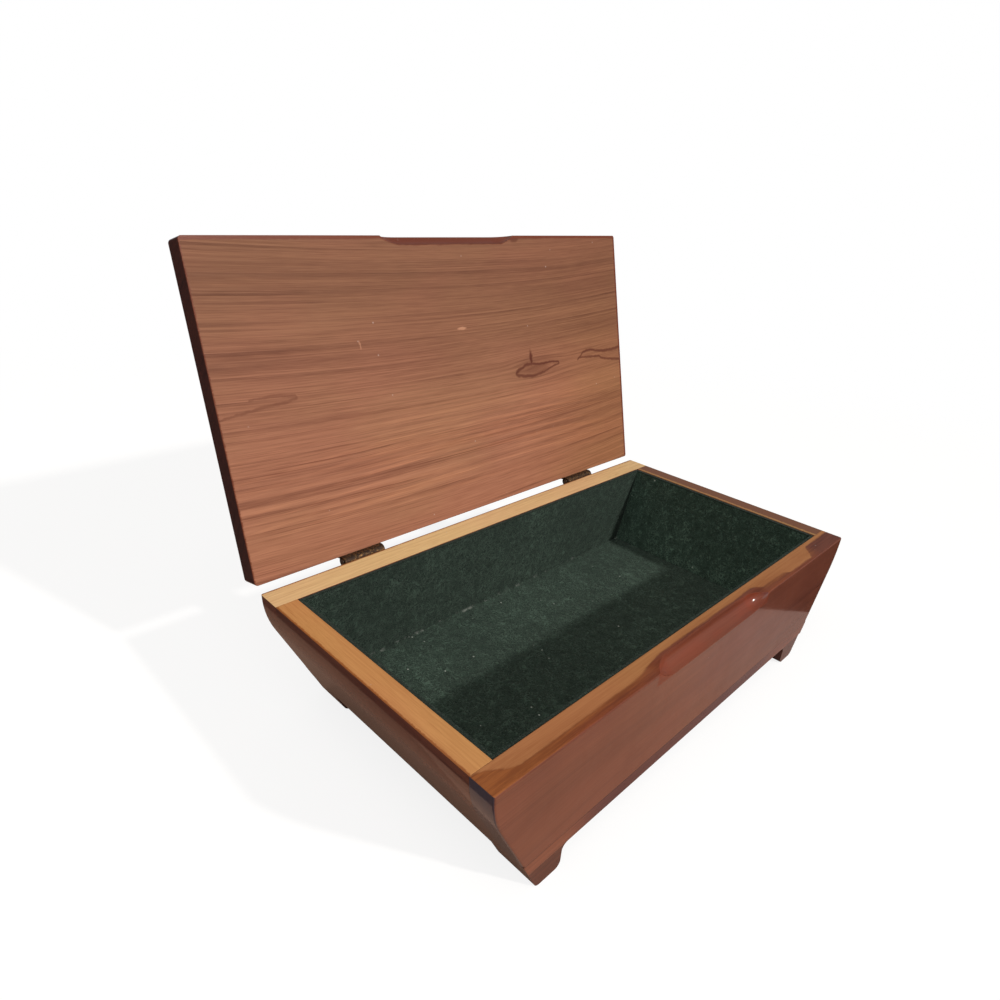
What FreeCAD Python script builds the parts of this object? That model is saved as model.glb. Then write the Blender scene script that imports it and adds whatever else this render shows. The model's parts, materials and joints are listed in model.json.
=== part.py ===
import FreeCAD, Part
import math
import os

from FreeCAD import Vector

# A lined wooden trinket box on four block feet, with a flat lid standing open on two butt hinges.
# The origin is the centre of the footprint, on the surface that the feet stand on.
# +X runs along the box to the right, +Y to the hinged back, +Z up. All sizes are in millimetres.

# Box body
box_length = 228.6
box_depth = 121.2
wall_height = 40.4
front_board_thickness = 9.5
back_board_thickness = 10.8
bottom_board_thickness = 6.6

# Ends: each end runs straight down from the rim, rounds over and then slopes inwards
end_slope_deg = 26.0
end_round_radius = 38.0
end_rim_width = 8.5
end_inner_slope_deg = 16.5

# Feet
foot_height = 9.4
foot_depth = 16.0
foot_inner_inset = 34.6
foot_face_inset = 0.4
foot_flare_radius = 2.6
foot_inner_corner_radius = 2.6
foot_outer_corner_radius = 3.0

# Lid
lid_depth = 119.4
lid_thickness = 10.2
lid_open_deg = 104.0
lid_rim_gap = 0.15
lid_top_radius = 2.0
lid_corner_radius = 1.2

# Softened edges of the boards
board_softening = 0.8
bottom_edge_radius = 1.2

# Finger scoop, cut along the line where the lid meets the front board
scoop_radius = 5.2
scoop_length = 78.0
scoop_run_out = 12.0

# Felt lining
felt_thickness = 1.5
felt_below_rim = 0.3
felt_seam_gap = 0.2

# Hinges
hinge_width = 19.0
hinge_end_inset = 45.6
hinge_axis_below_rim = 0.6
leaf_thickness = 1.0
leaf_height = 8.4
leaf_corner_radius = 0.8
pin_radius = 1.2
pin_end_stand_out = 0.2
centre_knuckle_width = 7.6
knuckle_side_gap = 0.15
running_clearance = 0.06
snug_clearance = 0.02
barrel_wall_gap = 0.04
leaf_notch_gap = 0.25
stop_tongue_length = 5.0
stop_tongue_gap = 0.03

# Hinge screws
screw_shank_radius = 0.95
screw_length = 8.5
screw_slot_width = 0.5
screw_slot_depth = 0.45
screw_spacing = 11.6
screw_from_axis = 5.4

# Levels and faces worked out from the sizes above
standing_level = 0.0
bottom_level = standing_level + foot_height
floor_level = bottom_level + bottom_board_thickness
rim_level = floor_level + wall_height
half_length = box_length / 2
front_face = -box_depth / 2
back_face = box_depth / 2
front_wall_inside = front_face + front_board_thickness
back_wall_inside = back_face - back_board_thickness
knuckle_radius = pin_radius + running_clearance + leaf_thickness
hinge_axis_offset = knuckle_radius + barrel_wall_gap
hinge_axis_y = back_face + hinge_axis_offset
hinge_axis_z = rim_level - hinge_axis_below_rim
screw_head_radius = screw_shank_radius + leaf_thickness
lid_under_level = rim_level + lid_rim_gap
X_AXIS = Vector(1, 0, 0)
Y_AXIS = Vector(0, 1, 0)
Z_AXIS = Vector(0, 0, 1)


def save(name, shape):
    """Write one named piece to its own file."""
    shape.exportStep(os.path.join("parts", name + ".step"))


def end_inset(depth):
    """How far the outer end surface lies inside the rim's end, at a depth below the rim."""
    slope = math.radians(end_slope_deg)
    round_depth = end_round_radius * math.sin(slope)
    if depth <= round_depth:
        return end_round_radius - math.sqrt(end_round_radius**2 - depth**2)
    round_inset = end_round_radius * (1 - math.cos(slope))
    return round_inset + (depth - round_depth) * math.tan(slope)


def inner_inset(depth):
    """How far the inner face of an end board lies inside the rim's end."""
    return end_rim_width + depth * math.tan(math.radians(end_inner_slope_deg))


def outer_point(side, level, y):
    return Vector(side * (half_length - end_inset(rim_level - level)), y, level)


def inner_point(side, level, y, lining=0.0):
    across = lining / math.cos(math.radians(end_inner_slope_deg))
    return Vector(side * (half_length - inner_inset(rim_level - level) - across), y, level)


def end_edges(side, top, bottom, y):
    """The outer end curve between two levels: an arc, a straight slope, or one after the other."""
    round_level = rim_level - end_round_radius * math.sin(math.radians(end_slope_deg))
    edges = []
    arc_bottom = max(bottom, round_level)
    if top > arc_bottom:
        middle = (top + arc_bottom) / 2
        arc = Part.Arc(
            outer_point(side, top, y), outer_point(side, middle, y), outer_point(side, arc_bottom, y)
        )
        edges.append(arc.toShape())
    line_top = min(top, round_level)
    if line_top > bottom:
        line = Part.LineSegment(outer_point(side, line_top, y), outer_point(side, bottom, y))
        edges.append(line.toShape())
    return edges


def extruded(edges, depth):
    """A solid pulled along +Y from a closed outline in an XZ plane."""
    wire = Part.Wire(Part.__sortEdges__(edges))
    return Part.Face(wire).extrude(Vector(0, depth, 0))


def polygon(points):
    return Part.makePolygon(points + [points[0]]).Edges


def edges_where(shape, test):
    """Edges whose ends and middle all pass a test on their points."""
    found = []
    for edge in shape.Edges:
        middle = edge.valueAt((edge.FirstParameter + edge.LastParameter) / 2)
        points = [vertex.Point for vertex in edge.Vertexes] + [middle]
        if all(test(point) for point in points):
            found.append(edge)
    return found


def near(a, b):
    return abs(a - b) < 1e-4


def long_board(top, bottom, y, thickness):
    """A board as long as the box, with both ends on the end curve."""
    left = end_edges(-1, top, bottom, y)
    right = end_edges(1, top, bottom, y)
    upper = Part.LineSegment(outer_point(-1, top, y), outer_point(1, top, y)).toShape()
    lower = Part.LineSegment(outer_point(-1, bottom, y), outer_point(1, bottom, y)).toShape()
    return extruded(left + right + [upper, lower], thickness)


def scoop_cutter():
    """A long spindle on the line where the lid meets the front board."""
    half = scoop_length / 2
    flat = half - scoop_run_out
    end_radius = (scoop_run_out**2 + scoop_radius**2) / (2 * scoop_radius)
    turn = math.asin(scoop_run_out / end_radius) / 2
    middle_along = end_radius * math.sin(turn)
    middle_out = scoop_radius - end_radius * (1 - math.cos(turn))

    def at(along, out):
        return Vector(along, front_face - out, rim_level)

    edges = [
        Part.Arc(at(-half, 0), at(-flat - middle_along, middle_out), at(-flat, scoop_radius)).toShape(),
        Part.LineSegment(at(-flat, scoop_radius), at(flat, scoop_radius)).toShape(),
        Part.Arc(at(flat, scoop_radius), at(flat + middle_along, middle_out), at(half, 0)).toShape(),
        Part.LineSegment(at(half, 0), at(-half, 0)).toShape(),
    ]
    face = Part.Face(Part.Wire(Part.__sortEdges__(edges)))
    return face.revolve(Vector(0, front_face, rim_level), X_AXIS, 360)


def screw(place, grow=0.0):
    """A screw that points along -Y, with its countersunk head filling the leaf's thickness."""
    inwards = Vector(0, -1, 0)
    head = Part.makeCone(
        screw_head_radius + grow, screw_shank_radius + grow, leaf_thickness, place, inwards
    )
    neck = place + inwards * leaf_thickness
    shank_length = screw_length - leaf_thickness + grow
    shank = Part.makeCylinder(screw_shank_radius + grow, shank_length, neck, inwards)
    return head.fuse(shank).removeSplitter()


def slotted_screw(place, slot_deg):
    slot = Part.makeBox(3 * screw_head_radius, screw_slot_depth, screw_slot_width)
    slot.translate(Vector(-1.5 * screw_head_radius, -screw_slot_depth, -screw_slot_width / 2))
    slot.rotate(Vector(0, 0, 0), Y_AXIS, slot_deg)
    slot.translate(place)
    return screw(place).cut(slot)


def hinge_screw_places(centre_x, side):
    """Head places of one leaf's two screws. Side is 1 on the closed lid and -1 on the box."""
    y = back_face + leaf_thickness
    z = hinge_axis_z + side * screw_from_axis
    return [Vector(centre_x + s * screw_spacing / 2, y, z) for s in (-1, 1)]


def leaf_plate(centre_x, side):
    """The flat of one leaf, notched round the other leaf's knuckles."""
    y = back_face
    low, high = sorted((hinge_axis_z, hinge_axis_z + side * leaf_height))
    plate = Part.makeBox(
        hinge_width, leaf_thickness, high - low, Vector(centre_x - hinge_width / 2, y, low)
    )
    far = hinge_axis_z + side * leaf_height
    corners = edges_where(plate, lambda p: near(p.z, far) and near(abs(p.x - centre_x), hinge_width / 2))
    plate = plate.makeFillet(leaf_corner_radius, corners)
    notch_depth = knuckle_radius + leaf_notch_gap
    start = min(hinge_axis_z, hinge_axis_z + side * notch_depth)
    centre_half = centre_knuckle_width / 2 + knuckle_side_gap
    if side > 0:
        spans = [(-centre_half, centre_half)]
    else:
        outer = hinge_width / 2
        spans = [(-outer, -centre_knuckle_width / 2), (centre_knuckle_width / 2, outer)]
    for left, right in spans:
        notch = Part.makeBox(
            right - left, leaf_thickness, notch_depth, Vector(centre_x + left, y, start)
        )
        plate = plate.cut(notch)
    return plate


def knuckle(left, right, radius):
    place = Vector(left, hinge_axis_y, hinge_axis_z)
    return Part.makeCylinder(radius, right - left, place, X_AXIS)


def open_lid(shape):
    """Turn a piece from the closed lid's place to the open lid's."""
    turned = shape.copy()
    turned.rotate(Vector(0, hinge_axis_y, hinge_axis_z), X_AXIS, -lid_open_deg)
    return turned


def stop_tongue(centre_x):
    """The tail of the centre knuckle, which the open lid's leaf comes to rest on."""
    plane = hinge_axis_offset - leaf_thickness - stop_tongue_gap
    tongue = Part.makeBox(
        centre_knuckle_width, leaf_thickness, stop_tongue_length, Vector(0, 0, 0)
    )
    tongue.translate(
        Vector(
            centre_x - centre_knuckle_width / 2,
            hinge_axis_y - plane,
            hinge_axis_z,
        )
    )
    return open_lid(tongue)


def make_box_leaf(centre_x):
    half = centre_knuckle_width / 2
    leaf = leaf_plate(centre_x, -1)
    leaf = leaf.fuse([knuckle(centre_x - half, centre_x + half, knuckle_radius), stop_tongue(centre_x)])
    bore = knuckle(centre_x - hinge_width, centre_x + hinge_width, pin_radius + snug_clearance)
    leaf = leaf.cut(bore)
    for place in hinge_screw_places(centre_x, -1):
        leaf = leaf.cut(screw(place, snug_clearance))
    return leaf.removeSplitter()


def make_lid_leaf(centre_x):
    inner = centre_knuckle_width / 2 + knuckle_side_gap
    outer = hinge_width / 2
    barrels = [
        knuckle(centre_x - outer, centre_x - inner, knuckle_radius),
        knuckle(centre_x + inner, centre_x + outer, knuckle_radius),
    ]
    leaf = leaf_plate(centre_x, 1).fuse(barrels)
    bore = knuckle(centre_x - hinge_width, centre_x + hinge_width, pin_radius + running_clearance)
    leaf = leaf.cut(bore)
    for place in hinge_screw_places(centre_x, 1):
        leaf = leaf.cut(screw(place, snug_clearance))
    return open_lid(leaf.removeSplitter())


def make_front_board(cutter):
    board = long_board(rim_level, floor_level, front_face, front_board_thickness)

    def is_outer_arris(point):
        above_joint = point.z > floor_level + board_softening or near(point.z, floor_level)
        return near(point.y, front_face) and above_joint

    outer = edges_where(board, is_outer_arris)
    arrises = [edge for edge in outer if not near(edge.BoundBox.ZMax, floor_level)]
    board = board.makeFillet(board_softening, arrises)
    return board.cut(cutter)


def make_back_board():
    board = long_board(rim_level, floor_level, back_wall_inside, back_board_thickness)
    ends = edges_where(
        board,
        lambda p: near(p.y, back_face) and abs(p.x) > half_length - end_inset(wall_height) - 1e-3,
    )
    board = board.makeFillet(board_softening, ends)
    for centre_x in hinge_centres:
        for place in hinge_screw_places(centre_x, -1):
            board = board.cut(screw(place, snug_clearance))
    return board


def make_end_board(side):
    y = front_wall_inside
    inner = Part.LineSegment(inner_point(side, rim_level, y), inner_point(side, floor_level, y))
    upper = Part.LineSegment(outer_point(side, rim_level, y), inner_point(side, rim_level, y))
    lower = Part.LineSegment(outer_point(side, floor_level, y), inner_point(side, floor_level, y))
    outline = end_edges(side, rim_level, floor_level, y)
    outline += [inner.toShape(), upper.toShape(), lower.toShape()]
    return extruded(outline, back_wall_inside - front_wall_inside)


def make_bottom_board():
    board = long_board(floor_level, bottom_level, front_face, box_depth)
    long_edges = edges_where(board, lambda p: near(p.z, bottom_level) and near(abs(p.y), box_depth / 2))
    return board.makeFillet(bottom_edge_radius, long_edges)


def make_foot(side, end):
    """A block foot that carries on the end slope. Side is -1 on the left, end is -1 at the front."""
    top = bottom_level
    low = standing_level
    y = front_face + foot_face_inset
    inner = -half_length + foot_inner_inset
    flare = foot_flare_radius
    inner_round = foot_inner_corner_radius
    outer_round = foot_outer_corner_radius
    bend = math.sqrt(0.5)
    slope = math.radians(end_slope_deg)
    corner = outer_point(-1, low, y)
    reach = outer_round * math.tan((math.pi / 2 - slope) / 2)
    on_slope = corner + Vector(-math.sin(slope), 0, math.cos(slope)) * reach
    centre = corner + Vector(reach, 0, outer_round)
    towards_corner = (corner - centre).normalize()

    def at(x, z):
        return Vector(x, y, z)

    outline = [
        Part.LineSegment(at(inner + flare, top), outer_point(-1, top, y)),
        Part.LineSegment(outer_point(-1, top, y), on_slope),
        Part.Arc(on_slope, centre + towards_corner * outer_round, at(corner.x + reach, low)),
        Part.LineSegment(at(corner.x + reach, low), at(inner - inner_round, low)),
        Part.Arc(
            at(inner - inner_round, low),
            at(inner - inner_round * (1 - bend), low + inner_round * (1 - bend)),
            at(inner, low + inner_round),
        ),
        Part.LineSegment(at(inner, low + inner_round), at(inner, top - flare)),
        Part.Arc(
            at(inner, top - flare),
            at(inner + flare * (1 - bend), top - flare * (1 - bend)),
            at(inner + flare, top),
        ),
    ]
    foot = extruded([curve.toShape() for curve in outline], foot_depth)
    if side > 0:
        foot = foot.mirror(Vector(0, 0, 0), X_AXIS)
    if end > 0:
        foot = foot.mirror(Vector(0, 0, 0), Y_AXIS)
    return foot


def make_lid_board(cutter):
    width = box_length
    y = back_face - lid_depth
    board = Part.makeBox(
        width, lid_depth, lid_thickness, Vector(-width / 2, y, lid_under_level)
    )
    uprights = edges_where(
        board,
        lambda p: near(abs(p.x), width / 2) and (near(p.y, y) or near(p.y, back_face)),
    )
    board = board.makeFillet(lid_corner_radius, uprights)
    upper = edges_where(board, lambda p: near(p.z, lid_under_level + lid_thickness))
    board = board.makeFillet(lid_top_radius, upper)
    board = board.cut(cutter)
    for centre_x in hinge_centres:
        for place in hinge_screw_places(centre_x, 1):
            board = board.cut(screw(place, snug_clearance))
    return open_lid(board)


def make_floor_felt():
    top = floor_level + felt_thickness
    gap = felt_seam_gap
    y = front_wall_inside + gap
    points = []
    for side, level in ((-1, floor_level), (1, floor_level), (1, top), (-1, top)):
        points.append(inner_point(side, level, y, gap))
    return extruded(polygon(points), back_wall_inside - front_wall_inside - 2 * gap)


def make_long_felt(y):
    """The lining of a long wall, cut to the slope of the ends."""
    low = floor_level + felt_thickness + felt_seam_gap
    high = rim_level - felt_below_rim
    points = []
    for side, level in ((-1, low), (1, low), (1, high), (-1, high)):
        points.append(inner_point(side, level, y, felt_seam_gap))
    return extruded(polygon(points), felt_thickness)


def make_end_felt(side):
    """The lining of an end, laid on the sloping inner face between the long walls' linings."""
    low = floor_level + felt_thickness + felt_seam_gap
    high = rim_level - felt_below_rim
    y = front_wall_inside + felt_thickness + felt_seam_gap
    points = [
        inner_point(side, low, y),
        inner_point(side, high, y),
        inner_point(side, high, y, felt_thickness),
        inner_point(side, low, y, felt_thickness),
    ]
    span = back_wall_inside - front_wall_inside - 2 * (felt_thickness + felt_seam_gap)
    return extruded(polygon(points), span)


os.makedirs("parts", exist_ok=True)
hinge_centres = (-half_length + hinge_end_inset, half_length - hinge_end_inset)
scoop = scoop_cutter()

# The carcass: long walls over the whole length, ends between them, all on the bottom board
save("front_board", make_front_board(scoop))
save("back_board", make_back_board())
save("left_end_board", make_end_board(-1))
save("right_end_board", make_end_board(1))
save("bottom_board", make_bottom_board())
for end, end_name in ((-1, "front"), (1, "back")):
    for side, side_name in ((-1, "left"), (1, "right")):
        save(end_name + "_" + side_name + "_foot", make_foot(side, end))

# The lining
save("floor_felt", make_floor_felt())
save("front_wall_felt", make_long_felt(front_wall_inside))
save("back_wall_felt", make_long_felt(back_wall_inside - felt_thickness))
save("left_end_felt", make_end_felt(-1))
save("right_end_felt", make_end_felt(1))

# The lid, stored open on its hinges' stops
save("lid_board", make_lid_board(scoop))

# Hinges and their screws
for centre_x, name in zip(hinge_centres, ("left", "right")):
    half_pin = hinge_width / 2 + pin_end_stand_out
    save(name + "_hinge_box_leaf", make_box_leaf(centre_x))
    save(name + "_hinge_lid_leaf", make_lid_leaf(centre_x))
    save(name + "_hinge_pin", knuckle(centre_x - half_pin, centre_x + half_pin, pin_radius))
    slot_turns = (20.0, -35.0)
    box_screws = [
        slotted_screw(place, turn) for place, turn in zip(hinge_screw_places(centre_x, -1), slot_turns)
    ]
    lid_screws = [
        slotted_screw(place, turn) for place, turn in zip(hinge_screw_places(centre_x, 1), slot_turns)
    ]
    save(name + "_hinge_box_screws", Part.makeCompound(box_screws))
    save(name + "_hinge_lid_screws", open_lid(Part.makeCompound(lid_screws)))
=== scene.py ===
import json
import math
import random

import bpy
from mathutils import Euler, Matrix, Vector


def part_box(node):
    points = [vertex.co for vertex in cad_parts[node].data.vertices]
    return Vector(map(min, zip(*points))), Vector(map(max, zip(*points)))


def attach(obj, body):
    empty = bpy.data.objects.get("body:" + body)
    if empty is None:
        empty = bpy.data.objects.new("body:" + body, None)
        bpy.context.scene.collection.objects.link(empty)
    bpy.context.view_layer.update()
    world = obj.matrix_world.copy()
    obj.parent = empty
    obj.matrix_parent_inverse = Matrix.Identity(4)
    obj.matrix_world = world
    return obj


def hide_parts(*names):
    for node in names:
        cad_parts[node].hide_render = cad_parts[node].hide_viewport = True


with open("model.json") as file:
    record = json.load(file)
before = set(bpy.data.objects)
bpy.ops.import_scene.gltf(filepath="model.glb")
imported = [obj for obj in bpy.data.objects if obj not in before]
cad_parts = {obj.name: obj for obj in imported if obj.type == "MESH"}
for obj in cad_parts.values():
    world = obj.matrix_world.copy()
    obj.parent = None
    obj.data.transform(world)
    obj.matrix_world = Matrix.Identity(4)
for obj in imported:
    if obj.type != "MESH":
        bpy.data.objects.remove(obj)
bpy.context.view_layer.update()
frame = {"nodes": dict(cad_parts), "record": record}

# A lined wooden trinket box with its lid open: the finishes of its boards and hinges, its felt
# lining, and the table and lights that it is photographed with.

bl_info = {
    "name": "Trinket Box",
    "version": (1, 0, 0),
    "blender": (4, 5, 0),
    "location": "3D View > Sidebar > Trinket Box",
    "description": "Finishes, felt lining and photo stage of a small cedar trinket box",
    "category": "Object",
}

MM = 0.001


def photo_colour(red, green, blue):
    """A colour given as 0 to 255 a channel, as the linear values that a shader takes."""
    channels = [value / 255 for value in (red, green, blue)]
    return tuple(c / 12.92 if c < 0.04045 else ((c + 0.055) / 1.055) ** 2.4 for c in channels)


# Where the box's parts are, in metres, read from the boards themselves
front_low, front_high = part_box("front_board")
back_low, back_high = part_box("back_board")
RIM = back_high.z
FLOOR = back_low.z
FRONT_FACE = front_low.y
FRONT_INSIDE = front_high.y
BACK_INSIDE = back_low.y
BACK_FACE = back_high.y
HALF_LENGTH = back_high.x
HINGE = Vector(frame["record"]["behaviour"]["joints"][0]["pos_m"])
LID_TURN = math.radians(frame["record"]["behaviour"]["joints"][0]["range_deg"][1])
LID_UNDERSIDE = RIM + 0.15 * MM


# ---------------------------------------------------------------- settings


def colour_setting(name, description, default):
    return bpy.props.FloatVectorProperty(
        name=name, description=description, default=photo_colour(*default),
        subtype="COLOR", size=3, min=0.0, max=1.0,
    )


def length_setting(name, description, millimetres):
    return bpy.props.FloatProperty(
        name=name, description=description, default=millimetres * MM, min=0.0,
        subtype="DISTANCE", unit="LENGTH", precision=5,
    )


def share_setting(name, description, default, top=1.0):
    return bpy.props.FloatProperty(
        name=name, description=description, default=default, min=0.0, max=top, subtype="FACTOR"
    )


class CedarSettings(bpy.types.PropertyGroup):
    """Colours and figure of the cedar, bare and under its varnish."""

    bare_light: colour_setting("Bare early wood", "Lighter wood of the lid's inside", (168, 117, 87))
    bare_dark: colour_setting("Bare late wood", "Darker grain lines of the lid's inside", (104, 60, 42))
    rim_light: colour_setting("Rim early wood", "Lighter wood of the sanded rim", (214, 162, 106))
    rim_dark: colour_setting("Rim late wood", "Grain lines of the sanded rim", (170, 112, 66))
    stain_light: colour_setting("Stained early wood", "Lighter wood under the varnish", (128, 72, 50))
    stain_dark: colour_setting("Stained late wood", "Grain lines under the varnish", (64, 26, 22))
    run_over: colour_setting("Varnish run-over", "Stain that crept over the rim", (154, 92, 46))
    ring_width: length_setting("Ring width", "Distance between two growth rings", 3.1)
    varnish: share_setting("Varnish", "How much clear varnish lies over the stain", 1.0)
    wear: share_setting("Edge wear", "How far the arrises are rubbed through", 0.5)


class FeltSettings(bpy.types.PropertyGroup):
    """The glued green lining."""

    colour: colour_setting("Felt", "Body colour of the felt", (32, 46, 38))
    fibre: colour_setting("Raised fibres", "Colour of the fibres that catch the light", (86, 108, 94))
    lint: colour_setting("Lint", "Colour of the lint caught in the nap", (190, 196, 186))
    thickness: length_setting("Thickness", "Thickness of the felt", 1.5)
    clearance: length_setting("Clearance", "Gap that the box leaves at each seam", 0.2)
    seam: length_setting("Seam", "Gap that the felt leaves at each seam", 0.03)
    edge: length_setting("Edge", "Rounding of the felt's cut edges", 0.25)
    cell: length_setting("Cell", "Distance between two points of the felt's mesh", 0.8)
    ripple: length_setting("Ripple", "How far the glued felt rises and falls", 0.28)
    nap: length_setting("Nap", "Height of the felt's small tufts", 0.12)
    end_slope: bpy.props.FloatProperty(
        name="End slope", description="Lean of the box's inner ends from upright",
        default=math.radians(16.5), subtype="ANGLE", unit="ROTATION",
    )


class HingeSettings(bpy.types.PropertyGroup):
    """Finish of the butt hinges, pins and screws."""

    brass: colour_setting("Brass", "Bare brass where the hinge rubs", (138, 104, 66))
    patina: colour_setting("Patina", "Dark film over the rest of the brass", (50, 36, 28))
    steel: colour_setting("Pin", "Steel of the hinge pins", (120, 112, 104))
    film: share_setting("Patina cover", "Share of the brass that the film covers", 0.82)


class StageSettings(bpy.types.PropertyGroup):
    """Table, lights and camera."""

    key: bpy.props.FloatProperty(
        name="Key light", description="Strength of the main light from the front", default=2.5, min=0.0
    )
    key_elevation: bpy.props.FloatProperty(
        name="Key elevation", description="Height of the main light above the table",
        default=math.radians(31.8), subtype="ANGLE", unit="ROTATION",
    )
    key_azimuth: bpy.props.FloatProperty(
        name="Key azimuth", description="How far the main light stands to the right of the front",
        default=math.radians(17.0), subtype="ANGLE", unit="ROTATION",
    )
    key_softness: bpy.props.FloatProperty(
        name="Key softness", description="Angle that the main light fills",
        default=math.radians(2.6), subtype="ANGLE", unit="ROTATION",
    )
    fill: share_setting("Fill", "Light from all round", 0.34, 4.0)
    overhead: bpy.props.FloatProperty(
        name="Overhead", description="Power of the soft light over the box", default=3.3, min=0.0,
        subtype="POWER", unit="POWER",
    )
    table: colour_setting("Table", "Colour of the table", (236, 234, 232))


# ---------------------------------------------------------------- laying out shader nodes


class Bench:
    """Adds and joins the nodes of one material or one shared effect."""

    def __init__(self, tree):
        self.tree = tree

    def feed(self, socket, value):
        if isinstance(value, bpy.types.NodeSocket):
            self.tree.links.new(value, socket)
        elif socket.type == "RGBA" and len(value) == 3:
            socket.default_value = (*value, 1.0)
        else:
            socket.default_value = value

    def add(self, kind, settings=None, inputs=None):
        node = self.tree.nodes.new(kind)
        for name, value in (settings or {}).items():
            setattr(node, name, value)
        for name, value in (inputs or {}).items():
            self.feed(node.inputs[name], value)
        return node

    def math(self, operation, *values, clamp=False):
        settings = {"operation": operation, "use_clamp": clamp}
        return self.add("ShaderNodeMath", settings, dict(enumerate(values))).outputs[0]

    def vector(self, operation, *values):
        node = self.add("ShaderNodeVectorMath", {"operation": operation})
        for index, value in enumerate(values):
            socket = node.inputs["Scale"] if operation == "SCALE" and index == 1 else node.inputs[index]
            self.feed(socket, value)
        scalar = operation in ("LENGTH", "DISTANCE", "DOT_PRODUCT")
        return node.outputs["Value" if scalar else "Vector"]

    def point(self, x=0.0, y=0.0, z=0.0):
        return self.add("ShaderNodeCombineXYZ", None, {0: x, 1: y, 2: z}).outputs[0]

    def parts(self, vector):
        return self.add("ShaderNodeSeparateXYZ", None, {0: vector}).outputs

    def noise(self, vector, scale=1.0, detail=2.0, roughness=0.5, distortion=0.0, flat=False):
        """Smooth noise. Flat noise runs along one number instead of through space."""
        node = self.add("ShaderNodeTexNoise", {"noise_dimensions": "1D" if flat else "3D"})
        self.feed(node.inputs["W" if flat else "Vector"], vector)
        for name, value in (("Scale", scale), ("Detail", detail), ("Roughness", roughness)):
            self.feed(node.inputs[name], value)
        self.feed(node.inputs["Distortion"], distortion)
        return node.outputs[0]

    def cells(self, vector, scale, feature="F1", spread=1.0):
        node = self.add("ShaderNodeTexVoronoi", {"feature": feature})
        self.feed(node.inputs["Vector"], vector)
        self.feed(node.inputs["Scale"], scale)
        self.feed(node.inputs["Randomness"], spread)
        return node

    def step(self, value, low, high, start=0.0, end=1.0):
        """A smooth rise from start to end as the value goes from low to high."""
        node = self.add("ShaderNodeMapRange", {"interpolation_type": "SMOOTHSTEP"})
        for index, item in enumerate((value, low, high, start, end)):
            self.feed(node.inputs[index], item)
        return node.outputs[0]

    def mix(self, share, first, second, blend="MIX"):
        node = self.add("ShaderNodeMix", {"data_type": "RGBA", "blend_type": blend})
        for index, item in ((0, share), (6, first), (7, second)):
            self.feed(node.inputs[index], item)
        return node.outputs[2]

    def blend(self, share, first, second):
        node = self.add("ShaderNodeMix", {"data_type": "FLOAT"})
        for index, item in ((0, share), (2, first), (3, second)):
            self.feed(node.inputs[index], item)
        return node.outputs[0]

    def group(self, tree, inputs):
        return self.add("ShaderNodeGroup", {"node_tree": tree}, inputs).outputs

    def place(self):
        return self.add("ShaderNodeTexCoord").outputs["Object"]

    def facing(self):
        """Which way a face points, in the piece's own directions."""
        return self.parts(self.add("ShaderNodeTexCoord").outputs["Normal"])

    def turned(self, vector, turn, shift=(0.0, 0.0, 0.0)):
        """A pattern turned by a matrix and then shifted."""
        settings = {"Vector": vector, "Rotation": turn.to_euler(), "Location": shift}
        return self.add("ShaderNodeMapping", None, settings).outputs[0]


def new_effect(name, inputs, outputs):
    """A shared shader effect with named inputs and outputs, and a bench to build it on."""
    tree = bpy.data.node_groups.new(name, "ShaderNodeTree")
    kinds = {"colour": "NodeSocketColor", "vector": "NodeSocketVector", "number": "NodeSocketFloat"}
    for label, kind in inputs:
        tree.interface.new_socket(label, in_out="INPUT", socket_type=kinds[kind])
    for label, kind in outputs:
        tree.interface.new_socket(label, in_out="OUTPUT", socket_type=kinds[kind])
    bench = Bench(tree)
    given = bench.add("NodeGroupInput").outputs
    result = bench.add("NodeGroupOutput").inputs
    return tree, bench, given, result


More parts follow.
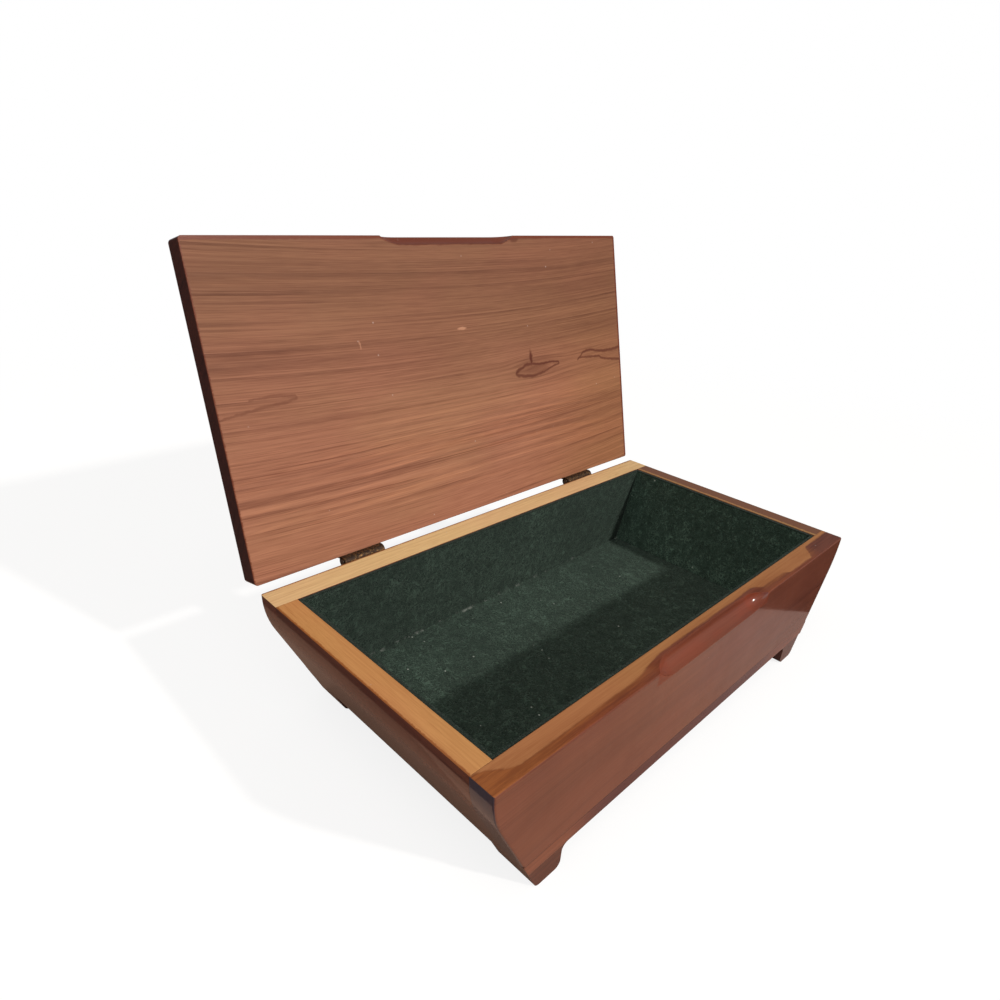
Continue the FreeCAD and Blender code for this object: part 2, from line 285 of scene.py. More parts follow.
def cedar_grain():
    """Growth rings, bands and fibres of a board sawn from round a pith.

    The grain runs along the pattern's X. The rings lie round a pith that stands across and below
    the board, so a wide face shows long lines and an end shows arcs.
    """
    inputs = [("Vector", "vector"), ("Across", "number"), ("Below", "number")]
    inputs += [("Ring Width", "number"), ("Drift", "number"), ("Seed", "number")]
    inputs += [("Early Wood", "colour"), ("Late Wood", "colour"), ("Contrast", "number")]
    outputs = [("Color", "colour"), ("Height", "number"), ("Rings", "number"), ("Fibre", "number")]
    tree, bench, given, result = new_effect("cedar grain", inputs, outputs)

    place = bench.vector("SCALE", given["Vector"], 1 / MM)
    seed = bench.math("MULTIPLY", given["Seed"], 37.0)
    shifted = bench.vector("ADD", place, bench.point(seed, seed, seed))
    slow = bench.noise(bench.vector("MULTIPLY", shifted, (0.006, 0.020, 0.020)), detail=1.0)
    quick = bench.noise(bench.vector("MULTIPLY", shifted, (0.011, 0.10, 0.10)), detail=2.0)
    x, y, z = bench.parts(place)
    lean = bench.math("MULTIPLY", bench.math("SUBTRACT", slow, 0.5), given["Drift"])
    sway = bench.math("MULTIPLY", bench.math("SUBTRACT", quick, 0.5), 1.0)
    moved = bench.math("ADD", lean, sway)
    across = bench.math("ADD", bench.math("SUBTRACT", y, given["Across"]), moved)
    below = bench.math("SUBTRACT", z, given["Below"])
    radius = bench.vector("LENGTH", bench.point(0.0, across, below))

    def along(x_scale, r_scale, detail, roughness=0.5):
        """Noise drawn out along the grain, at a scale along it and one over the rings."""
        where = bench.point(
            bench.math("MULTIPLY", x, x_scale),
            bench.math("MULTIPLY", bench.math("ADD", y, moved), r_scale),
            bench.math("ADD", bench.math("MULTIPLY", z, r_scale), seed),
        )
        return bench.noise(where, detail=detail, roughness=roughness)

    def centred(value, strength):
        return bench.math("MULTIPLY", bench.math("SUBTRACT", value, 0.5), strength)

    turn = bench.math("DIVIDE", radius, given["Ring Width"])
    uneven = bench.noise(bench.math("ADD", bench.math("MULTIPLY", turn, 0.27), seed), detail=1.0, flat=True)
    turn = bench.math("ADD", turn, bench.math("MULTIPLY", uneven, 3.4))
    part = bench.math("FRACT", turn)
    late = bench.math("MULTIPLY", bench.step(part, 0.25, 0.90), bench.step(part, 0.93, 1.0, 1.0, 0.0))
    force = bench.noise(bench.math("ADD", bench.math("MULTIPLY", turn, 0.61), seed), detail=0.0, flat=True)
    patch = along(0.012, 0.06, 1.0)
    force = bench.math(
        "MULTIPLY", bench.step(force, 0.34, 0.70, 0.12, 1.0), bench.step(patch, 0.34, 0.66, 0.2, 1.0)
    )
    rings = bench.math("MULTIPLY", late, force)
    bands = along(0.003, 0.10, 2.0)
    streak = along(0.005, 0.85, 3.0, 0.7)
    fibre = along(0.022, 2.1, 3.0, 0.75)
    pores = along(0.11, 5.0, 2.0)
    lines = bench.math("MULTIPLY", bench.step(along(0.004, 1.45, 2.0, 0.6), 0.54, 0.68), bench.step(patch, 0.30, 0.6, 0.35, 1.0))

    share = bench.math("ADD", bench.math("MULTIPLY", rings, 0.34), 0.24)
    share = bench.math("ADD", share, bench.math("MULTIPLY", lines, 0.24))
    for value, strength in ((bands, 0.52), (streak, 0.75), (fibre, 0.98), (pores, 0.70)):
        share = bench.math("ADD", share, centred(value, strength))
    share = bench.math("MULTIPLY", share, given["Contrast"], clamp=True)
    colour = bench.mix(share, given["Early Wood"], given["Late Wood"])
    tint = bench.noise(bench.vector("MULTIPLY", shifted, (0.012, 0.030, 0.030)), detail=2.0)
    pinker = bench.mix(1.0, colour, (1.02, 0.90, 1.0), "MULTIPLY")
    colour = bench.mix(bench.step(tint, 0.35, 0.65, 0.0, 0.6), colour, pinker)
    height = bench.math("ADD", bench.math("MULTIPLY", rings, 0.4), bench.math("MULTIPLY", fibre, 0.6))
    for name, value in (("Color", colour), ("Height", height), ("Rings", rings), ("Fibre", fibre)):
        bench.feed(result[name], value)
    return tree


def edge_wear():
    """Where an arris is rubbed, broken up as real rubbing is, and the softened normal there."""
    inputs = [("Vector", "vector"), ("Width", "number"), ("Amount", "number")]
    tree, bench, given, result = new_effect("edge wear", inputs, [("Mask", "number"), ("Normal", "vector")])
    soft = bench.add("ShaderNodeBevel", {"samples": 4}, {"Radius": given["Width"]}).outputs[0]
    flat = bench.add("ShaderNodeNewGeometry").outputs["Normal"]
    turned = bench.math("SUBTRACT", 1.0, bench.vector("DOT_PRODUCT", soft, flat))
    breakup = bench.noise(given["Vector"], scale=420.0, detail=4.0, roughness=0.6)
    reach = bench.math("MULTIPLY", turned, bench.step(breakup, 0.36, 0.66, 0.2, 2.2))
    mask = bench.math("MULTIPLY", bench.step(reach, 0.02, 0.16), given["Amount"], clamp=True)
    bench.feed(result["Mask"], mask)
    bench.feed(result["Normal"], soft)
    return tree


def varnish_handling():
    """Smears, fine scratches and settled dust on a glossy surface."""
    inputs = [("Vector", "vector")]
    outputs = [("Smear", "number"), ("Scratch", "number"), ("Dust", "number"), ("Wave", "number")]
    tree, bench, given, result = new_effect("varnish handling", inputs, outputs)
    smear = bench.noise(given["Vector"], scale=46.0, detail=3.0, roughness=0.6, distortion=0.6)
    wave = bench.noise(given["Vector"], scale=85.0, detail=1.0)
    lines = bench.noise(bench.vector("MULTIPLY", given["Vector"], (60.0, 900.0, 900.0)), detail=1.0, distortion=0.5)
    gaps = bench.noise(given["Vector"], scale=70.0, detail=2.0)
    scratch = bench.math("MULTIPLY", bench.step(lines, 0.70, 0.76), bench.step(gaps, 0.52, 0.62))
    speck = bench.cells(given["Vector"], 240.0)
    near = bench.step(speck.outputs["Distance"], 0.05, 0.11, 1.0, 0.0)
    kept = bench.step(bench.parts(speck.outputs["Color"])[0], 0.93, 0.95)
    bench.feed(result["Smear"], smear)
    bench.feed(result["Scratch"], scratch)
    bench.feed(result["Dust"], bench.math("MULTIPLY", near, kept))
    bench.feed(result["Wave"], wave)
    return tree


def felt_fibre():
    """Curled fibres, tufts and caught lint of pressed felt."""
    inputs = [("Vector", "vector")]
    outputs = [("Fibre", "number"), ("Tuft", "number"), ("Lint", "number"), ("Height", "number")]
    tree, bench, given, result = new_effect("felt fibre", inputs, outputs)

    def curls(scale, width, shift, low, high):
        """Thin curled lines, where a noise passes through its middle value, in patches."""
        place = bench.vector("ADD", given["Vector"], (shift, shift, shift))
        field = bench.noise(place, scale=scale, detail=1.2, roughness=0.5, distortion=1.3)
        off = bench.math("ABSOLUTE", bench.math("SUBTRACT", field, 0.5))
        there = bench.noise(place, scale=scale * 0.55, detail=2.0, roughness=0.6)
        return bench.math("MULTIPLY", bench.step(off, 0.0, width, 1.0, 0.0), bench.step(there, low, high))

    large = curls(300.0, 0.046, 0.0, 0.43, 0.56)
    small = curls(470.0, 0.060, 0.31, 0.40, 0.54)
    dense = bench.math("MULTIPLY", curls(900.0, 0.10, 0.57, 0.2, 0.5), 0.45)
    fibre = bench.math("MAXIMUM", large, bench.math("MAXIMUM", small, dense))
    tuft = bench.noise(given["Vector"], scale=240.0, detail=6.0, roughness=0.78)
    speck = bench.cells(given["Vector"], 190.0)
    bits = bench.step(speck.outputs["Distance"], 0.045, 0.095, 1.0, 0.0)
    kept = bench.step(bench.parts(speck.outputs["Color"])[1], 0.78, 0.95)
    lint = bench.math("MULTIPLY", bits, kept)
    height = bench.math("ADD", bench.math("MULTIPLY", tuft, 1.2), bench.math("MULTIPLY", fibre, 0.7))
    for name, value in (("Fibre", fibre), ("Tuft", tuft), ("Lint", lint), ("Height", height)):
        bench.feed(result[name], value)
    return tree


def effect(name):
    """A shared effect, built the first time that it is asked for."""
    makers = {"cedar grain": cedar_grain, "edge wear": edge_wear}
    makers.update({"varnish handling": varnish_handling, "felt fibre": felt_fibre})
    return bpy.data.node_groups.get(name) or makers[name]()


def new_material(name):
    material = bpy.data.materials.new(name)
    material.use_nodes = True
    material.node_tree.nodes.clear()
    return material, Bench(material.node_tree)


def finish_surface(bench, **inputs):
    """The surface shader, whose unlinked sockets keep the constant values given here."""
    shader = bench.add("ShaderNodeBsdfPrincipled", None, inputs)
    bench.add("ShaderNodeOutputMaterial", None, {"Surface": shader.outputs[0]})


def put_on(material, *nodes):
    """Give whole CAD pieces a finish."""
    for name in nodes:
        piece = frame["nodes"][name]
        piece.data.materials.clear()
        piece.data.materials.append(material)
        for slot in piece.material_slots:
            slot.material = material


# ---------------------------------------------------------------- the boards

# Turns that lay the pattern's X along the board and its Y across the face that shows
ALONG_X_FACE_Y = Matrix(((1, 0, 0), (0, 0, 1), (0, -1, 0)))
ALONG_Y_FACE_X = Matrix(((0, 1, 0), (0, 0, 1), (1, 0, 0)))
ALONG_X_FACE_Z = Matrix.Identity(3)


def toned(colour, tone):
    """A colour made darker or lighter by one number, or tinted by three."""
    tint = tone if isinstance(tone, tuple) else (tone, tone, tone)
    return tuple(c * t for c, t in zip(colour, tint))


def board_finish(
    name, turn, pith, seed, tone=1.0, ring_scale=1.0, rim=None, rim_tone=1.0, stained=None, contrast=1.0
):
    """Stained and varnished cedar, with bare sanded wood on the rim.

    rim gives the mask of bare wood and the colour of the crept stain beside it, and stained the
    colour of the varnished faces and where they are duller. Both are functions of the bench and
    the place.
    """
    cedar = bpy.context.scene.trinket_cedar
    material, bench = new_material(name)
    place = bench.place()
    facing = bench.facing()
    common = {"Vector": bench.turned(place, turn), "Across": pith[0], "Below": pith[1], "Seed": seed}
    common["Ring Width"] = cedar.ring_width / MM * ring_scale
    common["Drift"] = 14.0
    grain = effect("cedar grain")
    light, dark = toned(cedar.stain_light, tone), toned(cedar.stain_dark, tone)
    faces = bench.group(grain, {**common, "Early Wood": light, "Late Wood": dark, "Contrast": contrast})
    wear = bench.group(effect("edge wear"), {"Vector": place, "Width": 0.5 * MM, "Amount": cedar.wear})
    handling = bench.group(effect("varnish handling"), {"Vector": place})

    colour = faces["Color"]
    cloud = bench.noise(place, scale=17.0, detail=3.0, roughness=0.6)
    colour = bench.mix(bench.step(cloud, 0.38, 0.70, 0.0, 0.45), colour, bench.mix(1.0, colour, (0.66, 0.58, 0.62), "MULTIPLY"))
    seam = bench.math("ABSOLUTE", bench.math("SUBTRACT", bench.parts(place)[2], FLOOR))
    seam = bench.step(seam, 0.10 * MM, 0.42 * MM, 0.45, 0.0)
    colour = bench.mix(seam, colour, toned(cedar.stain_dark, 0.35))
    matt_share = 0.0
    if stained:
        colour, matt_share = stained(bench, place, facing, colour)
    rubbed = tuple(0.6 * a + 0.4 * b for a, b in zip(cedar.rim_dark, cedar.stain_light))
    colour = bench.mix(bench.math("MULTIPLY", wear["Mask"], 0.32), colour, rubbed)
    gloss = bench.math("SUBTRACT", 1.0, bench.math("MULTIPLY", wear["Mask"], 0.5))
    gloss = bench.math("MULTIPLY", gloss, bench.math("SUBTRACT", 1.0, bench.math("MULTIPLY", matt_share, 0.6)))
    if rim:
        light, dark = toned(cedar.rim_light, rim_tone), toned(cedar.rim_dark, rim_tone)
        bare = bench.group(grain, {**common, "Early Wood": light, "Late Wood": dark, "Contrast": 0.85})
        bare_share, crept = rim(bench, place, bare)
        height = bench.step(bench.parts(place)[2], RIM - 0.75 * MM, RIM - 0.40 * MM)
        up = bench.math("MULTIPLY", bench.step(facing[2], 0.55, 0.85), height)
        shown = bench.math("MULTIPLY", up, bare_share)
        colour = bench.mix(up, colour, crept)
        colour = bench.mix(shown, colour, bare["Color"])
        matt = bench.blend(shown, bench.math("MULTIPLY", up, 0.55), 0.9)
        gloss = bench.math("MULTIPLY", gloss, bench.math("SUBTRACT", 1.0, matt))
    colour = bench.mix(bench.math("MULTIPLY", handling["Dust"], 0.3), colour, (0.50, 0.44, 0.40))
    roughness = bench.step(handling["Smear"], 0.3, 0.75, 0.40, 0.55)
    roughness = bench.blend(gloss, 0.62, roughness)
    dull = bench.math("ADD", bench.math("MULTIPLY", handling["Scratch"], 0.25), bench.math("MULTIPLY", handling["Dust"], 0.5))
    coat = bench.math("MULTIPLY", bench.math("MULTIPLY", gloss, cedar.varnish), bench.math("SUBTRACT", 1.0, dull), clamp=True)
    relief = bench.math("ADD", bench.math("MULTIPLY", faces["Height"], 0.5), bench.math("MULTIPLY", handling["Wave"], 2.2))
    normal = bench.add(
        "ShaderNodeBump", None,
        {"Strength": 0.35, "Distance": 0.10 * MM, "Height": relief, "Normal": wear["Normal"]},
    ).outputs[0]
    finish_surface(
        bench,
        **{
            "Base Color": colour, "Roughness": roughness, "Normal": normal, "Coat Weight": coat,
            "Coat Roughness": 0.08, "Coat IOR": 1.5, "Specular IOR Level": 0.12,
        },
    )
    return material


def ragged_line(bench, place, size=0.5):
    """A small wander, in millimetres, for the edge of a stain."""
    wander = bench.noise(bench.vector("MULTIPLY", place, (130.0, 700.0, 700.0)), detail=6.0, roughness=0.78)
    return bench.math("MULTIPLY", bench.math("SUBTRACT", wander, 0.5), size * 4)


def millimetres(bench, value, start, direction=1.0):
    """Distance in millimetres from a plane."""
    return bench.math("MULTIPLY", bench.math("SUBTRACT", value, start), direction / MM)


def front_rim(bench, place, bare):
    """Bare wood along the inside of the front rim, beside the stain that crept over its arris."""
    cedar = bpy.context.scene.trinket_cedar
    x, y, z = bench.parts(place)
    from_left = millimetres(bench, x, -HALF_LENGTH)
    from_face = millimetres(bench, y, FRONT_FACE)
    ragged = ragged_line(bench, place)
    width = 3.4
    for start, end, change in (
        (66, 84, 2.9), (150, 156, -2.6), (164, 171, -0.3), (173, 177, -1.9), (196, 206, 6.0), (0, 14, -6.0),
    ):
        width = bench.math("ADD", width, bench.step(from_left, start, end, 0.0, change))
    width = bench.math("ADD", width, 6.0)
    beyond = bench.math("SUBTRACT", bench.math("ADD", from_face, ragged), width)
    share = bench.step(beyond, -0.5, 0.6)
    near_scoop = bench.math("MULTIPLY", bench.step(from_left, 62, 84), bench.step(from_left, 150, 160, 1.0, 0.0))
    outer = bench.math("MULTIPLY", bench.step(from_face, 1.2, 3.6, 1.0, 0.0), bench.step(from_left, 18, 40))
    crept = bench.mix(outer, tuple(cedar.run_over), photo_colour(130, 68, 36))
    crept = bench.mix(near_scoop, crept, photo_colour(122, 64, 42))
    crept = bench.mix(bench.step(from_left, 196, 208), crept, photo_colour(112, 58, 38))
    crept = bench.mix(bench.step(beyond, -0.7, -0.1, 0.0, 0.25), crept, photo_colour(98, 46, 26))
    streaks = bench.noise(bench.vector("MULTIPLY", place, (45.0, 900.0, 900.0)), detail=4.0, roughness=0.7)
    darker = bench.mix(1.0, crept, (0.66, 0.58, 0.54), "MULTIPLY")
    crept = bench.mix(bench.step(streaks, 0.42, 0.62, 0.0, 0.85), crept, darker)
    crept = bench.mix(0.30, crept, bench.mix(1.0, crept, bare["Color"], "MULTIPLY"))
    return share, crept


def plain_rim(axis, edge, inwards, stripe, size, colour):
    """Bare rim that starts a stripe's width inside the board's outer face."""

    def rim(bench, place, bare):
        inside = millimetres(bench, bench.parts(place)[axis], edge, inwards)
        beyond = bench.math("SUBTRACT", bench.math("ADD", inside, ragged_line(bench, place, size)), stripe)
        crept = bench.mix(0.5, colour, bench.mix(1.0, colour, bare["Color"], "MULTIPLY"))
        return bench.step(beyond, -0.25, 0.25), bench.mix(0.5, colour, crept)

    return rim


def front_faces(bench, place, facing, colour):
    """Bluish bloom of thick varnish on the front board's left end, and duller red in the scoop."""
    x, y, z = bench.parts(place)
    left = bench.step(facing[0], -0.85, -0.5, 1.0, 0.0)
    cloud = bench.noise(place, scale=90.0, detail=3.0)
    colour = bench.mix(bench.math("MULTIPLY", left, bench.step(cloud, 0.3, 0.7, 0.70, 0.95)), colour, photo_colour(58, 58, 72))
    from_arris = bench.vector("LENGTH", bench.point(0.0, bench.math("SUBTRACT", y, FRONT_FACE), bench.math("SUBTRACT", z, RIM)))
    in_scoop = bench.step(from_arris, 5.0 * MM, 5.45 * MM, 0.9, 0.0)
    in_scoop = bench.math("MULTIPLY", in_scoop, bench.step(bench.math("ABSOLUTE", x), 38.5 * MM, 40.5 * MM, 1.0, 0.0))
    thinner = bench.step(bench.noise(bench.vector("MULTIPLY", place, (60.0, 260.0, 260.0)), detail=3.0), 0.35, 0.65, 0.35, 0.78)
    return bench.mix(in_scoop, colour, bench.mix(thinner, colour, photo_colour(128, 54, 32))), in_scoop


def bottom_faces(bench, place, facing, colour):
    """The bottom board's front edge is purplish between the feet, and paler over them as a painted highlight."""
    x, y, z = bench.parts(place)
    between = bench.step(bench.math("ABSOLUTE", bench.math("ADD", x, 6 * MM)), 52 * MM, 78 * MM, 1.0, 0.0)
    dark = bench.mix(1.0, colour, (0.51, 0.34, 0.86), "MULTIPLY")
    # Painted highlight: the edge is lightened over the feet
    pale = bench.mix(1.0, colour, (1.35, 1.30, 1.25), "MULTIPLY")
    edge = bench.mix(between, pale, dark)
    return bench.mix(bench.step(bench.math("ABSOLUTE", facing[1]), 0.4, 0.8), colour, edge), 0.0


def foot_faces(bench, place, facing, colour):
    return bench.mix(0.5, colour, bench.mix(1.0, colour, (0.8, 0.55, 0.85), "MULTIPLY")), 0.0


class TRINKET_OT_finish_boards(bpy.types.Operator):
    """Stain and varnish the boards and feet, and leave the sanded rim bare"""

    bl_idname = "trinket.finish_boards"
    bl_label = "Finish Boards and Feet"

    def execute(self, context):
        back_rim = plain_rim(1, BACK_FACE, -1.0, 0.6, 0.3, photo_colour(150, 96, 56))
        left_rim = plain_rim(0, -HALF_LENGTH, 1.0, 0.7, 0.35, photo_colour(150, 92, 48))
        right_rim = plain_rim(0, HALF_LENGTH, -1.0, 6.8, 0.8, photo_colour(122, 78, 52))
        front = board_finish(
            "varnished cedar, front", ALONG_X_FACE_Y, (95.0, -32.0), 1.0, 0.88, 1.4, front_rim, (0.57, 0.48, 0.45),
            front_faces, 0.6,
        )
        back = board_finish("varnished cedar, back", ALONG_X_FACE_Y, (-60.0, 50.0), 2.0, 0.95, 1.0, back_rim, (1.03, 1.35, 1.65))
        left = board_finish("varnished cedar, left end", ALONG_Y_FACE_X, (80.0, -20.0), 3.0, 0.88, 1.3, left_rim, (0.78, 0.72, 0.63))
        right = board_finish("varnished cedar, right end", ALONG_Y_FACE_X, (-40.0, 60.0), 4.0, 0.9, 0.6, right_rim, 0.5)
        bottom = board_finish(
            "varnished cedar, bottom", ALONG_X_FACE_Z, (30.0, -70.0), 5.0, 0.9, 1.0, stained=bottom_faces
        )
        feet = board_finish("varnished cedar, feet", ALONG_X_FACE_Y, (12.0, -30.0), 6.0, 0.60, 1.0, stained=foot_faces)
        put_on(front, "front_board")
        put_on(back, "back_board")
        put_on(left, "left_end_board")
        put_on(right, "right_end_board")
        put_on(bottom, "bottom_board")
        put_on(feet, "front_left_foot", "front_right_foot", "back_left_foot", "back_right_foot")
        return {"FINISHED"}


# ---------------------------------------------------------------- the lid

# Resin lines on the lid's inside: the places each runs through, by their distance from the left
# end and from the hinged edge, its half width at both ends in millimetres, and its strength
KNOT_UPPER = ((144.6, 57.9), (149.0, 59.6), (155.0, 61.0), (164.0, 60.3), (171.0, 60.5), (176.8, 59.3))
KNOT_LOWER = ((144.6, 57.9), (149.0, 56.3), (157.0, 55.4), (164.0, 56.2), (171.0, 57.9), (176.8, 59.2))
EDGE_UPPER = ((191.6, 59.2), (194.0, 60.8), (196.8, 62.6), (200.6, 63.1), (208.0, 61.9), (217.7, 61.3), (228.6, 62.2))
EDGE_LOWER = ((193.3, 60.1), (202.3, 59.4), (208.7, 59.1), (212.2, 57.6), (228.6, 55.4))
SWIRL_UPPER = ((12.0, 65.5), (21.7, 65.6), (26.4, 65.2), (30.0, 63.7))
SWIRL_LOWER = ((0.0, 60.4), (8.0, 61.5), (15.5, 62.2), (22.1, 62.6), (26.5, 63.0), (30.0, 63.8))
RESIN_LINES = (
    (KNOT_UPPER, 1.30, 0.60, 0.92), (KNOT_LOWER, 1.25, 0.55, 0.84), (EDGE_UPPER, 0.75, 1.10, 0.85),
    (EDGE_LOWER, 0.60, 0.95, 0.80), (SWIRL_UPPER, 0.50, 0.90, 0.40), (SWIRL_LOWER, 0.50, 0.90, 0.42),
)


def resin_line(bench, along, across, places, start_width, end_width, force):
    """A soft line through some places, as a mask."""
    first, last = places[0][0], places[-1][0]
    low = min(place[1] for place in places)
    high = max(place[1] for place in places)
    curve = bench.add("ShaderNodeFloatCurve")
    points = curve.mapping.curves[0].points
    points[0].location = (0.0, (places[0][1] - low) / (high - low))
    points[1].location = (1.0, (places[-1][1] - low) / (high - low))
    for place in places[1:-1]:
        points.new((place[0] - first) / (last - first), (place[1] - low) / (high - low))
    curve.mapping.update()
    share = bench.math("DIVIDE", bench.math("SUBTRACT", along, first), last - first)
    bench.feed(curve.inputs["Value"], bench.math("ADD", share, 0.0, clamp=True))
    middle = bench.math("ADD", bench.math("MULTIPLY", curve.outputs[0], high - low), low)
    width = bench.blend(share, start_width, end_width)
    off = bench.math("DIVIDE", bench.math("ABSOLUTE", bench.math("SUBTRACT", across, middle)), width)
    mask = bench.step(off, 0.25, 1.2, force, 0.0)
    ends = bench.math("ABSOLUTE", bench.math("SUBTRACT", share, 0.5))
    return bench.math("MULTIPLY", mask, bench.step(ends, 0.49, 0.52, 1.0, 0.0))


def lid_marks(bench, from_left, from_hinge):
    """The knot and resin lines of the lid's inside, as one mask, and two pale dings."""
    where = bench.point(from_left, from_hinge, 0.0)
    wobble = bench.add("ShaderNodeTexNoise", None, {"Vector": where, "Scale": 0.35, "Detail": 3.0}).outputs["Color"]
    wobble = bench.vector("SCALE", bench.vector("SUBTRACT", wobble, (0.5, 0.5, 0.5)), 2.0)
    x, y, z = bench.parts(bench.vector("ADD", where, bench.vector("MULTIPLY", wobble, (1.4, 0.6, 0.0))))
    dark = 0.0
    for line in RESIN_LINES:
        dark = bench.math("MAXIMUM", dark, resin_line(bench, x, y, *line))

    def spot(centre, size, edge=0.5, force=1.0):
        along = bench.math("DIVIDE", bench.math("SUBTRACT", x, centre[0]), size[0])
        over = bench.math("DIVIDE", bench.math("SUBTRACT", y, centre[1]), size[1])
        return bench.step(bench.vector("LENGTH", bench.point(along, over, 0.0)), edge, 1.0, force, 0.0)

    marks = (
        spot((156.2, 63.6), (1.7, 5.4), 0.35), spot((159.5, 58.2), (15.0, 3.0), 0.4, 0.42),
        spot((160.0, 60.5), (22.0, 8.0), 0.1, 0.20), spot((152.0, 118.5), (4.0, 2.6), 0.5, 0.7),
    )
    for mark in marks:
        dark = bench.math("MAXIMUM", dark, mark)
    ding = spot((114.3, 81.3), (3.4, 0.8), 0.5, 0.75)
    nick = spot((60.6, 79.6), (0.5, 2.2), 0.5, 0.5)
    return dark, bench.math("MAXIMUM", ding, nick)


def lid_finish():
    """Bare cedar on the lid's inside, and dark glossy varnish on its edges and outside; its ends carry painted shade
    over the varnish too.
    """
    cedar = bpy.context.scene.trinket_cedar
    material, bench = new_material("lid cedar")
    place = bench.place()
    facing = bench.facing()
    close = Matrix.Rotation(LID_TURN, 3, "X")
    closed = bench.turned(place, close, HINGE - close @ HINGE)
    x, y, z = bench.parts(closed)
    from_left = millimetres(bench, x, -HALF_LENGTH)
    from_hinge = millimetres(bench, y, BACK_FACE, -1.0)
    depth = millimetres(bench, z, LID_UNDERSIDE)
    dark, pale = lid_marks(bench, from_left, from_hinge)

    # Lines sag a little towards the middle of the length, and part round the knot
    bowed = bench.math("MULTIPLY", bench.math("POWER", bench.math("SUBTRACT", from_left, 112.0), 2.0), 0.00030)
    along = bench.math("DIVIDE", bench.math("SUBTRACT", from_left, 160.0), 24.0)
    over = bench.math("DIVIDE", bench.math("SUBTRACT", from_hinge, 58.5), 9.0)
    near = bench.step(bench.vector("LENGTH", bench.point(along, over, 0.0)), 0.0, 1.2, 1.0, 0.0)
    parted = bench.math("MULTIPLY", bench.math("MULTIPLY", near, bench.math("TANH", bench.math("MULTIPLY", over, 3.0))), 2.6)
    moved = bench.math("MULTIPLY", bench.math("ADD", parted, bowed), MM)
    grain_place = bench.vector("ADD", closed, bench.point(0.0, moved, 0.0))
    common = {"Vector": grain_place, "Across": 150.0, "Below": -60.0, "Seed": 9.0, "Drift": 3.5}
    common["Ring Width"] = cedar.ring_width / MM * 0.9
    grain = effect("cedar grain")
    bare = bench.group(
        grain, {**common, "Early Wood": cedar.bare_light, "Late Wood": cedar.bare_dark, "Contrast": 1.08}
    )
    stained = bench.group(
        grain, {**common, "Early Wood": cedar.stain_light, "Late Wood": cedar.stain_dark, "Contrast": 1.0}
    )
    wear = bench.group(effect("edge wear"), {"Vector": place, "Width": 0.5 * MM, "Amount": cedar.wear})
    handling = bench.group(effect("varnish handling"), {"Vector": closed})

    # The inside is everything in the underside's plane, less a ragged stained border
    ragged = ragged_line(bench, closed, 0.45)
    to_right = bench.math("SUBTRACT", 228.6, from_left)
    to_front = bench.math("SUBTRACT", 119.4, from_hinge)
    at_notch = bench.math("MULTIPLY", bench.step(from_left, 76, 87), bench.step(from_left, 142, 153, 1.0, 0.0))
    to_front = bench.math("SUBTRACT", to_front, bench.math("MULTIPLY", at_notch, 2.4))
    border = bench.math("MINIMUM", bench.math("MINIMUM", to_right, to_front), bench.math("ADD", from_left, 0.9))
    inner = bench.step(bench.math("ADD", border, ragged), 0.9, 1.6)
    under = bench.step(depth, 0.05, 0.35, 1.0, 0.0)
    inside = bench.math("MULTIPLY", under, inner)

    # The heartwood towards the free edge is darker, and the lower right is yellower
    uneven = bench.noise(bench.point(bench.math("MULTIPLY", from_left, 0.012), bench.math("MULTIPLY", from_hinge, 0.05)), detail=2.0)
    edge = bench.math("ADD", from_hinge, bench.math("MULTIPLY", bench.math("SUBTRACT", uneven, 0.5), 34.0))
    wood = bench.mix(bench.step(edge, 22.0, 108.0, 0.0, 0.78), bare["Color"], bench.mix(1.0, bare["Color"], (0.56, 0.53, 0.50), "MULTIPLY"))
    yellow = bench.math("MULTIPLY", bench.step(from_left, 120.0, 225.0), bench.step(edge, 20.0, 100.0, 1.0, 0.35))
    wood = bench.mix(bench.math("MULTIPLY", yellow, 0.9), wood, bench.mix(1.0, wood, (0.84, 0.80, 0.64), "MULTIPLY"))
    # Pale streaks run along the half next to the hinges
    lean = bench.math("ADD", from_hinge, bench.math("MULTIPLY", bowed, 1.0))
    runs = bench.noise(bench.point(bench.math("MULTIPLY", from_left, 0.006), bench.math("MULTIPLY", lean, 0.42)), detail=3.0, roughness=0.65)
    zone = bench.math("MULTIPLY", bench.step(from_hinge, 6.0, 22.0), bench.step(from_hinge, 36.0, 58.0, 1.0, 0.0))
    zone = bench.math("MULTIPLY", zone, bench.step(from_left, 8.0, 90.0, 0.35, 1.0))
    zone = bench.math("MULTIPLY", zone, bench.step(from_left, 170.0, 222.0, 1.0, 0.25))
    wood = bench.mix(
        bench.math("MULTIPLY", bench.step(runs, 0.44, 0.66), zone), wood, bench.mix(1.0, wood, (1.34, 1.34, 1.28), "MULTIPLY")
    )
    wood = bench.mix(bench.math("MULTIPLY", dark, 0.88), wood, photo_colour(82, 32, 18))
    wood = bench.mix(bench.math("MULTIPLY", pale, 0.75), wood, photo_colour(206, 150, 118))

